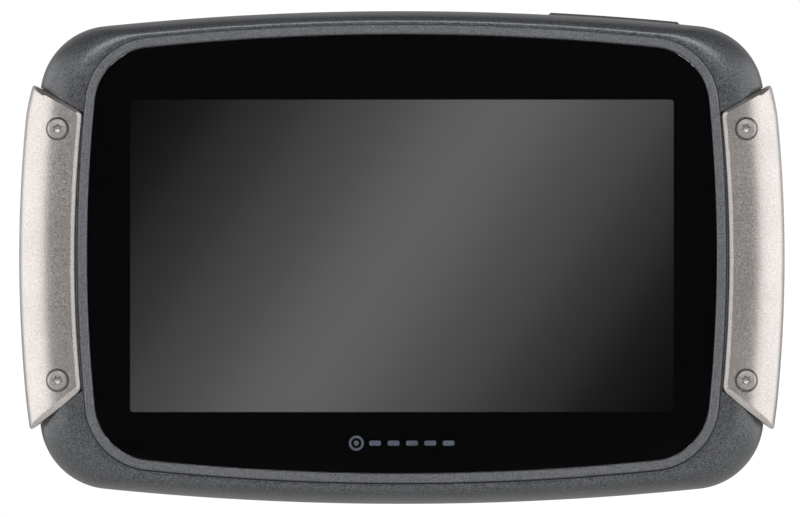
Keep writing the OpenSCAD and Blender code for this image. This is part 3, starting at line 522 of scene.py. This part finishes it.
trim = {
    "innerX": 58.85, "outerX": 69.2, "sweepR": 260, "startX": 57.05,
    "power": 2 / 2.4,             # how square the section is
    "frontDrop": 9.28, "rearReach": 16, "wrap": 18,
    "thick": 2.3, "up": 26.1, "down": 24.0, "slopeUp": 30, "slopeDown": 38,
    "bevel": 0.9, "bevelFall": 0.6, "cornerR": 0.9,
    "upperShare": 0.6,            # the bevel of the upper end, as a share of the others
    "tipBevel": 6.2, "tipFall": (0.1, 0.62), "tipRound": 0.7,   # how the two ends turn in at the side
    "tipFrom": 8, "tipFade": 5,   # where round the section the front's bevel gives way to that turn
    "rearEase": 0.35, "sideEase": 6.35,   # keeps the rounding off the rear edge
    "edgeSteps": (0, 0.1, 0.2, 0.62, 0.75, 0.85, 0.95, 1.1, 1.4, 1.9, 2.6),   # mesh lines in from an edge
    "acrossStep": 0.62, "rows": 64,
    "screwX": 61.95, "screwZ": (23.15, -22.1), "seatY": -28.6, "boreR": 2.15, "headR": 1.85,
}


def trimSection():
    # the section as many points with their distance round from the inner edge and their outward normal
    reach, power = trim["outerX"] - trim["startX"], trim["power"]
    first = math.acos(((trim["innerX"] - trim["startX"]) / reach) ** (1 / power))
    points = []
    for i in range(401):
        u = first * (1 - i / 400)
        points.append(Vector((trim["startX"] + reach * math.cos(u) ** power,
                              form["partY"] - trim["frontDrop"] * math.sin(u) ** power)))
    for i in range(1, 201):
        u = math.radians(trim["wrap"]) * i / 200
        points.append(Vector((trim["startX"] + reach * math.cos(u) ** power,
                              form["partY"] + trim["rearReach"] * math.sin(u) ** power)))
    run = [0.0]
    for p, q in zip(points, points[1:]):
        run.append(run[-1] + (q - p).length)
    return points, run


def along(points, run, s):
    s = min(max(s, 0.0), run[-1])
    k = next((i for i in range(1, len(run)) if run[i] >= s), len(run) - 1)
    share = (s - run[k - 1]) / (run[k] - run[k - 1])
    p = points[k - 1].lerp(points[k], share)
    lo, hi = points[max(k - 4, 0)], points[min(k + 3, len(points) - 1)]
    way = (hi - lo).normalized()
    return p, Vector((-way.y, way.x)) * -1


def trimX(r, z):
    return trim["outerX"] - trim["sweepR"] + math.sqrt(r * r - z * z)


def trimEnd(r, up, slope):
    x0 = trimX(trim["innerX"] - trim["outerX"] + trim["sweepR"], up)
    rise = math.tan(math.radians(slope))
    first = up + (trimX(r, up) - x0) * rise
    return up + (trimX(r, first) - x0) * rise


def spacing(length, edge, step):
    # places along a length, close together inside both edges and even between them
    near = [s for s in trim["edgeSteps"] if s <= edge]
    inner = length - 2 * near[-1]
    count = max(2, round(inner / step))
    middle = [near[-1] + inner * i / count for i in range(1, count)]
    return near + middle + [length - s for s in reversed(near)]


def fall(d, tip, tipFall):
    # how far the bevel drops at a distance from the edge, eased at its inner line
    w = trim["bevel"]
    front = 0.0
    if d < w - 0.1:
        front = trim["bevelFall"] * (w - d) / w
    elif d < w + 0.1:
        front = trim["bevelFall"] / w * (w + 0.1 - d) ** 2 / 0.4
    share = max(0.0, 1 - d / trim["tipBevel"])
    tipR = trim["tipRound"]
    end = max(0.0, tipR - d)
    side = tipFall * share ** 1.5 + tipR - math.sqrt(tipR * tipR - end * end)
    return front * (1 - tip) + side * tip


def slantedEnds(r, grow=0.0):
    # heights of the lower and the upper end at a radius of the sweep
    return (-trimEnd(r, trim["down"] + grow, trim["slopeDown"]),
            trimEnd(r, trim["up"] + grow, trim["slopeUp"]))


def makeTrim(side):
    points, run = trimSection()
    across = spacing(run[-1], 1.4, trim["acrossStep"])
    rows, ends, roundR = trim["rows"], trim["edgeSteps"], trim["cornerR"]
    k = len(ends)
    centreX = trim["outerX"] - trim["sweepR"]
    bm = bmesh.new()
    bmesh.ops.create_grid(bm, x_segments=len(across) - 1, y_segments=rows, size=0.5)
    inner = {}

    def heightAt(q, j, d, fade):
        # a row's height: the end rows keep their distance from a slanted end, the others share the rest
        low, top = slantedEnds(q.x - centreX)
        down, up = ((1 / math.cos(math.radians(trim[slope]))) * (1 - fade) + fade
                    for slope in ("slopeDown", "slopeUp"))
        if j < k:
            return low + d * down, d
        if j > rows - k:
            return top - d * up, d
        a, b = low + ends[-1] * down, top - ends[-1] * up
        z = a + (b - a) * (j - k + 1) / (rows - 2 * k + 2)
        return z, min((z - low) / down, (top - z) / up)

    for v in bm.verts:
        i = round((v.co.x + 0.5) * (len(across) - 1))
        j = round((v.co.y + 0.5) * rows)
        s = across[i]
        fade = min(1.0, max(0.0, (s - trim["tipFrom"]) / trim["tipFade"]))
        upper = j > rows / 2
        dEnd = ends[j] if j < k else ends[rows - j] if j > rows - k else 0.0
        dEnd = heightAt(along(points, run, s)[0], j, dEnd, fade)[1]
        s2, d2 = s, dEnd
        if s < roundR and dEnd < roundR:  # the inner corners are drawn round
            c, length = max(roundR - s, roundR - dEnd), math.hypot(roundR - s, roundR - dEnd)
            s2, d2 = roundR - (roundR - s) * c / length, roundR - (roundR - dEnd) * c / length
        p, n = along(points, run, s2)
        if fade < 1:
            fromEnd = dEnd / trim["upperShare"] if upper and fade == 0 else dEnd
            near = min(s, fromEnd, run[-1] - s + trim["rearEase"])
        else:
            near = min(dEnd, run[-1] - s + trim["sideEase"])
        drop = fall(near, fade, trim["tipFall"][1 if upper else 0])
        spots = []
        for q in (p - n * drop, p - n * trim["thick"]):
            z = heightAt(q, j, d2, fade)[0]
            spots.append(Vector((trimX(q.x - centreX, z), q.y, z)))
        v.co = spots[0]
        inner[v] = spots[1]
    skin = list(bm.faces)
    made = bmesh.ops.duplicate(bm, geom=list(bm.verts) + list(bm.edges) + skin)
    for old, new in made["vert_map"].items():
        if old in inner:
            new.co = inner[old]
    edges = [e for e in bm.edges if e.is_boundary]
    bmesh.ops.bridge_loops(bm, edges=edges)
    tool = bmesh.new()
    for z in trim["screwZ"]:
        r, seat = trim["boreR"], trim["seatY"]
        addTurned(tool, trim["screwX"], z, [(0, seat), (r, seat), (r, -30.0), (r + 0.3, -30.5),
                                            (r + 0.3, -33), (0, -33)])
    bm = carve(bm, tool)
    if side < 0:
        bmesh.ops.mirror(bm, geom=list(bm.verts) + list(bm.edges) + list(bm.faces), axis="X", merge_dist=-1)
        gone = [v for v in bm.verts if v.co.x > 0]
        bmesh.ops.delete(bm, geom=gone, context="VERTS")
    return bm


room = {"grow": 0.12, "above": 1.2, "below": 0.2, "around": 40, "rows": 48}


def trimRoom():
    # the recess that a trim sits in, a little larger than the trim all round
    points, run = trimSection()
    centreX = trim["outerX"] - trim["sweepR"]
    n = room["around"]
    outer, inner = [], []
    for i in range(n + 1):
        p, way = along(points, run, run[-1] * i / n)
        outer.append(p + way * room["above"])
        inner.append(p - way * (trim["thick"] + room["below"]))
    outer[0].x -= room["grow"]
    inner[0].x -= room["grow"]
    rings = []
    for k in range(room["rows"] + 1):
        ring = []
        for p in outer + inner[::-1]:
            low, top = slantedEnds(p.x - centreX, room["grow"])
            z = low + (top - low) * k / room["rows"]
            ring.append((trimX(p.x - centreX, z), p.y, z))
        rings.append(ring)
    bm = bmesh.new()
    first = ring = startRing(bm, rings[0])
    for row in rings[1:]:
        ring = nextRing(bm, ring, row)
    for end in (first, ring):   # the ends are strips, since a single face over them would not lie flat
        for i in range(n):
            bm.faces.new((end[i], end[i + 1], end[2 * n - i], end[2 * n + 1 - i]))
    return bm


def bothSides(bm):
    bmesh.ops.mirror(bm, geom=list(bm.verts) + list(bm.edges) + list(bm.faces), axis="X", merge_dist=-1)
    return bm


print("trims")
keep("rightTrim", makeTrim(1), "unit", paint["trimLacquer"], ["right_trim"], 38)
keep("leftTrim", makeTrim(-1), "unit", paint["trimLacquer"], ["left_trim"], 38)


def star(x, z, r, dip, turn=0.0):
    return [(x + (r - dip * (1 - math.cos(6 * t)) / 2) * math.cos(t + turn),
             z + (r - dip * (1 - math.cos(6 * t)) / 2) * math.sin(t + turn))
            for t in (math.tau * i / 48 for i in range(48))]


def makeScrews(places, seat, way, r, height, shankR, length, recessR):
    # domed heads on a seat; way is -1 where they face the front and 1 where they face the back
    bm, tool = bmesh.new(), bmesh.new()
    for x, z, turn in places:
        addTurned(bm, x, z, [(0, seat + way * height), (r * 0.55, seat + way * height),
                             (r * 0.8, seat + way * height * 0.93), (r * 0.94, seat + way * height * 0.74),
                             (r, seat + way * height * 0.45), (r, seat), (shankR, seat),
                             (shankR, seat - way * length), (0, seat - way * (length + shankR * 0.5))])
        addLoft(tool, [atDepth(star(x, z, recessR * size, recessR * size * 0.3, turn),
                               seat + way * height * deep)
                       for size, deep in ((1.02, 1.6), (1.0, 1.0), (0.72, 0.3), (0.1, 0.12))])
    return carve(bm, tool)


turns = (0.2, 0.75, 0.5, 1.0)  # screws never stop at the same turn
frontScrews = [(sx * trim["screwX"], z, turns[k]) for k, (sx, z) in
               enumerate((sx, z) for sx in (1, -1) for z in trim["screwZ"])]
keep("trimScrews", makeScrews(frontScrews, trim["seatY"], -1, trim["headR"], 0.9, 0.9, 4.0, 0.88),
     "unit", paint["platedSteel"], ["trim_screws"], 25)


print("front housing, rim and glass")
roll = {"rows": 28, "depth": 8.9, "lip": 0.4, "seam": 0.14}


def makeFront():
    outer, lip = bodyLine(), rimLine(roll["lip"])
    rings = [atDepth(bodyLine(-roll["seam"]), form["partY"])]
    start = roll["seam"] / roll["depth"]
    for i in range(roll["rows"] + 1):
        t = math.pi / 2 * i / roll["rows"]
        y = form["partY"] - roll["depth"] * math.sin(t) - (roll["seam"] if i == 0 else 0)
        rings.append(atDepth(between(lip, outer, math.cos(t)), y))
    # the joint to the rim opens a little at the bottom only
    joint = outline(form["glassHalf"], form["glassRadii"], form["rimLand"] + 0.15, form["glassRaise"] - 0.1)
    rings += [atDepth(joint, form["bodyFrontY"] + 0.02), atDepth(joint, form["bodyFrontY"] + 0.34),
              atDepth(rimLine(0.02), form["bodyFrontY"] + 0.36),
              atDepth(rimLine(0.02), form["seatY"]),
              atDepth(rimLine(-1.6), form["seatY"]), atDepth(rimLine(-1.6), form["ledgeY"]),
              atDepth(innerLine(), form["ledgeY"]), atDepth(innerLine(), form["partY"])]
    bm = addLoft(bmesh.new(), rings, True)
    return carve(bm, bothSides(trimRoom()))


def makeRim():
    face = form["faceY"] + 0.18   # the trims stand a little prouder than the rim
    inner, outer = 0.25, 0.36  # widths of the bright inner chamfer and of the outer chamfer
    rings = [atDepth(glassLine(0.08), face + 0.26), atDepth(glassLine(0.08 + inner * 0.5), face + 0.08),
             atDepth(glassLine(0.08 + inner), face), atDepth(rimLine(-outer), face),
             atDepth(rimLine(-outer * 0.5), face + 0.1), atDepth(rimLine(-0.02), face + 0.3),
             atDepth(rimLine(-0.02), form["seatY"] - 0.02), atDepth(glassLine(-2.6), form["seatY"] - 0.02),
             atDepth(glassLine(-2.6), -28.64), atDepth(glassLine(0.08), -28.64)]
    return addLoft(bmesh.new(), rings, True)


keep("frontShell", makeFront(), "unit", paint["housingPaint"], ["front_housing"], 30)
keep("rimRing", makeRim(), "unit", paint["rimPaintLitCopy"], ["display_frame"], 28)
keep("coverGlass", addSlab(bmesh.new(), glassLine(), -29.9, -28.82, 0.12, 0.0), "unit",
     paint["toughenedGlass"], ["cover_glass"], 20)


symbol = {"x": -8.2, "z": -33.4, "ringR": 1.35, "line": 0.42, "dashes": 5, "pitch": 3.3,
          "dash": (2.1, 0.9), "y": -28.815}


def makeSymbol():
    bm = bmesh.new()
    y0, y1 = symbol["y"], symbol["y"] + 0.012
    profile = [(symbol["ringR"], y0), (symbol["ringR"] - symbol["line"], y0),
               (symbol["ringR"] - symbol["line"], y1), (symbol["ringR"], y1), (symbol["ringR"], y0)]
    addTurned(bm, symbol["x"], symbol["z"], profile)
    addTurned(bm, symbol["x"], symbol["z"], [(0, y0), (0.45, y0), (0.45, y1), (0, y1)], 24)
    w, h = symbol["dash"]
    for i in range(symbol["dashes"]):
        addSlab(bm, roundedRect(w, h, 0.3, symbol["x"] + 3.4 + symbol["pitch"] * i, symbol["z"], 4), y0, y1)
    return bm


keep("printedSymbol", makeSymbol(), "unit", paint["symbolInk"])


print("rear housing and dock")
rear = {
    "rows": 26, "power": 0.5, "seam": 0.14,
    "screws": ((57.5, 32), (-57.5, 32), (57.5, -32), (-57.5, -32), (0, 38), (6, -38)),
    "seatY": -11.4, "headR": 1.75, "boreR": 1.95,
    "vent": (46, -14), "ventR": 3.1, "label": (36.2, 8.2, -31.025),
    "dock": (66, 48, 8), "pegX": 20, "pegZ": 10, "pegR": 2.0, "pegDepth": 1.9,
    "dockScrews": (28.5, 19.5), "contacts": 8, "pitch": 3.2, "contactZ": -17.4,
}
bay = {"place": (-18, -16.4, -44.244), "tilt": 1.946, "length": 28, "width": 5.6, "roofZ": -37.2,
       "ledge": 0.6, "hingeX": -16.6, "hingeZ": 1.3}
button = {"place": (38.4, -17, 43.159), "tilt": 4.155, "length": 24, "width": 5, "proud": 0.45,
          "chamfer": 0.5, "gap": 0.3, "topR": 530}


def setInto(bm, spec):
    turn = Matrix.Translation(spec["place"]) @ Matrix.Rotation(math.radians(spec["tilt"]), 4, "Y")
    bmesh.ops.transform(bm, matrix=turn, verts=bm.verts)
    return bm


def acrossBar(bm, x, z, r, halfY, segments=32):
    # a round bar along Y, centred on y = 0 of the place it is set into
    return addTurned(bm, x, z, [(0, -halfY), (r, -halfY), (r, halfY), (0, halfY)], segments)


def makeRear():
    rings = []
    for i in range(rear["rows"] + 1):
        t = math.pi / 2 * (1 - i / rear["rows"])
        taper, depth = 1 - math.cos(t) ** rear["power"], math.sin(t) ** rear["power"]
        if i == 0:
            taper, depth = 1, 1
        y = form["partY"] + (form["rearY"] - form["partY"]) * depth
        rings.append(atDepth(bodyLine(-form["rearInset"] * taper), y))
    rings.pop()
    rings += [atDepth(bodyLine(), form["partY"] + rear["seam"]),
              atDepth(bodyLine(-rear["seam"]), form["partY"] + 0.01)]
    for i in range(9):
        t = math.pi / 2 * i / 8
        taper, depth = 1 - math.cos(t) ** rear["power"], math.sin(t) ** rear["power"]
        y = form["partY"] + 0.01 + (form["rearInY"] - form["partY"]) * depth
        rings.append(atDepth(between(innerLine(), bodyLine(-form["rearInset"] - 2.4), taper), y))
    bm = addLoft(bmesh.new(), rings)
    bosses = bmesh.new()
    for x, z in rear["screws"]:
        r = 3.2 if abs(x) > 20 else 2.8
        addTurned(bosses, x, z, [(0, -20.8), (r, -20.8), (r, -9.4), (0, -9.4)], 32)
    bm = carve(bm, bosses, "UNION")
    tool = bmesh.new()
    for x, z in rear["screws"]:
        r, seat = rear["boreR"], rear["seatY"]
        addTurned(tool, x, z, [(0, seat), (r, seat), (r, -8.25), (r + 0.3, -7.95), (r + 0.3, -5), (0, -5)])
    x, z = rear["vent"]
    r = rear["ventR"]
    addTurned(tool, x, z, [(0, -8.5), (r, -8.5), (r, -8.1), (r + 0.2, -7.9), (r + 0.2, -5), (0, -5)])
    w, h, z = rear["label"]
    addSlab(tool, roundedRect(w, h, 0.6, 0, z), -8.2, -5)
    bm = carve(bm, tool)
    l, w = bay["length"], bay["width"]
    x, y, z = bay["place"]
    bm = carve(bm, addBox(bmesh.new(), (x - l / 2, y - w / 2, -47), (x + l / 2, y + w / 2, bay["roofZ"])))
    wide = w + 2 * bay["ledge"]
    mouth = addBox(bmesh.new(), (bay["hingeX"] - 2, -wide / 2, -1), (l / 2 + 1.8, wide / 2, 1.4))
    bm = carve(bm, setInto(mouth, bay))
    bm = carve(bm, setInto(acrossBar(bmesh.new(), bay["hingeX"], bay["hingeZ"], 1.8, wide / 2), bay))
    bm = carve(bm, setInto(acrossBar(bmesh.new(), l / 2 + 2.4, -1.2, 2.2, wide / 2 - 0.6), bay))
    half, deep = button["length"] / 2 + button["gap"], button["width"] / 2 + button["gap"]
    bm = carve(bm, setInto(addBox(bmesh.new(), (-half, -deep, -4.4), (half, deep, 2)), button))
    return carve(bm, bothSides(trimRoom()))


def makePedestal():
    w, h, r = rear["dock"]
    steps = ((0.7, -8.02), (0.3, -7.78), (0.08, -7.4), (0, -6.9), (0, -3.3), (-0.25, -3.0))
    rings = [atDepth(roundedRect(w + 2 * out, h + 2 * out, r + out), y) for out, y in steps]
    bm = addLoft(bmesh.new(), rings)
    tool = addBox(bmesh.new(), (-13.6, -9, -19.7), (13.6, -2, -15.1))
    return carve(bm, tool)


def makeDockPlate():
    w, h, r = rear["dock"]
    bm = addSlab(bmesh.new(), roundedRect(w, h, r, steps=12), form["plateY"], 0, 0.15, 0.5)
    tool = bmesh.new()
    for sx in (-1, 1):
        pegR = rear["pegR"]
        addTurned(tool, sx * rear["pegX"], rear["pegZ"], [(0, -rear["pegDepth"]), (pegR, -rear["pegDepth"]),
                  (pegR, -0.25), (pegR + 0.3, 0.05), (pegR + 0.3, 1), (0, 1)])
        for sz in (-1, 1):
            addTurned(tool, sx * rear["dockScrews"][0], sz * rear["dockScrews"][1],
                      [(0, -1.5), (1.95, -1.5), (1.95, -0.2), (2.2, 0.05), (2.2, 1), (0, 1)])
    for i in range(rear["contacts"]):
        x = (i - (rear["contacts"] - 1) / 2) * rear["pitch"]
        addTurned(tool, x, rear["contactZ"], [(0, -0.75), (1.15, -0.75), (1.15, -0.12), (1.3, 0.03),
                                              (1.3, 1), (0, 1)], 28)
    for sz in (-1, 1):
        addBox(tool, (-8, -1.8, sz * h / 2 - 1.6), (8, -0.9, sz * h / 2 + 1.6))
    return carve(bm, tool)


def makeContacts():
    bm = bmesh.new()
    for i in range(rear["contacts"]):
        x = (i - (rear["contacts"] - 1) / 2) * rear["pitch"]
        addTurned(bm, x, rear["contactZ"], [(0, -0.15), (0.6, -0.17), (0.9, -0.24), (1.05, -0.36),
                                            (1.1, -0.5), (1.1, -0.7), (0.5, -0.7), (0.5, -5.6),
                                            (0, -5.6)], 28)
    return bm


keep("rearShell", makeRear(), "unit", paint["housingPaint"], ["rear_housing"], 30)
keep("dockPedestal", makePedestal(), "unit", paint["housingPaint"], ["rear_housing"], 30)
keep("dockPlate", makeDockPlate(), "unit", paint["mouldedNylon"], ["dock_plate"], 30)
keep("dockContacts", makeContacts(), "unit", paint["goldPlate"], ["dock_contacts"])
rearScrews = [(x, z, 0.4 + 1.3 * k) for k, (x, z) in enumerate(rear["screws"])]
keep("housingScrews", makeScrews(rearScrews, rear["seatY"], 1, rear["headR"], 1.4, 0.95, 9, 0.95),
     "unit", paint["platedSteel"], ["housing_screws"])
plateScrews = [(sx * rear["dockScrews"][0], sz * rear["dockScrews"][1], 0.3 + sx + sz / 2)
               for sx in (-1, 1) for sz in (-1, 1)]
keep("dockScrews", makeScrews(plateScrews, -1.5, 1, 1.7, 1.2, 0.8, 5, 0.9),
     "unit", paint["platedSteel"], ["dock_screws"])


print("power button and port cover")


def makeButton():
    half, wide = button["length"] / 2, button["width"] / 2
    arc = [(x, button["proud"] - x * x / (2 * button["topR"]))
           for x in ((half - button["chamfer"]) * i / 10 for i in range(-10, 11))]
    line = [(-half, -3.2), (half, -3.2), (half, arc[-1][1] - button["chamfer"])] + arc[::-1] \
        + [(-half, arc[0][1] - button["chamfer"])]
    bm = addSlab(bmesh.new(), line, -wide, wide, 0.45, 0.45)
    addBox(bm, (-half - 0.7, -wide - 0.7, -4.0), (half + 0.7, wide + 0.7, -3.2), 0.1)
    addBox(bm, (-1.1, -1.1, -4.6), (1.1, 1.1, -4.0))
    return setInto(bm, button)


def makePortCover():
    half = bay["width"] / 2 + bay["ledge"] - 0.3
    right = bay["length"] / 2 + 1.5
    bm = addBox(bmesh.new(), (bay["hingeX"] - 0.6, -half, 0), (right, half, 1.2), 0.25, 3)
    for k in range(-5, 6):  # the cover's face follows the round of the housing's edge
        bmesh.ops.bisect_plane(bm, geom=list(bm.verts) + list(bm.edges) + list(bm.faces),
                               plane_co=(2.8 * k, 0, 0), plane_no=(1, 0, 0))
    for v in bm.verts:
        v.co.z += v.co.x ** 2 / (2 * button["topR"]) * (1 - v.co.z / 1.2)
    bm = carve(bm, acrossBar(bmesh.new(), right - 2.4, -1.55, 1.9, half + 1))
    l, w = bay["length"] / 2 - 0.3, bay["width"] / 2 - 0.3
    lip = addBox(bmesh.new(), (-l, -w, 1.0), (l, w, 2.0), 0.2)
    lip = carve(lip, addBox(bmesh.new(), (-l + 0.9, -w + 0.9, 1.2), (l - 0.9, w - 0.9, 3)))
    bm = carve(bm, lip, "UNION")
    acrossBar(bm, bay["hingeX"], bay["hingeZ"], 0.8, half)
    acrossBar(bm, bay["hingeX"], bay["hingeZ"], 0.6, half + 0.7)
    return setInto(bm, bay)


keep("powerButton", makeButton(), "power_button", paint["mouldedNylon"], ["power_button"], 30)
keep("portCover", makePortCover(), "port_cover", paint["siliconeRubber"], ["port_cover"], 30)


finishes = {
    "borderInk": ["border_mask"],
    "displayPaintedSheen": ["lcd_cell"],
    "toughenedGlass": ["touch_sensor"],
    "polyimideFilm": ["touch_flex", "lcd_flex", "dock_flex", "button_flex"],
    "foamStrip": ["display_foam", "battery_pad"],
    "rolledStainless": ["lcd_tray", "chassis"],
    "whiteAcrylic": ["light_guide", "light_pipe", "charge_led"],
    "platedSteel": ["chassis_screws", "board_screws", "button_screws"],
    "circuitBoard": ["main_board", "button_board"],
    "ivoryMoulding": ["board_connectors", "contact_block"],
    "nickelSheet": ["processor_can", "radio_can", "usb_receptacle", "card_socket", "switch_body"],
    "patchCeramic": ["gps_patch"],
    "mouldedNylon": ["port_well", "switch_plunger"],
    "goldPlate": ["short_range_antenna"],
    "pouchLaminate": ["battery_cell"],
    "wireInsulation": ["battery_leads"],
    "siliconeRubber": ["housing_gasket", "dock_seal"],
    "ventMembrane": ["pressure_vent"],
    "labelFilm": ["rating_plate"],
}
for finish, members in finishes.items():
    for member in members:
        shown = nodes[member].data.materials
        shown.clear()
        shown.append(paint[finish])

print("studio")
addSurroundings()
addLamps()
addCamera()
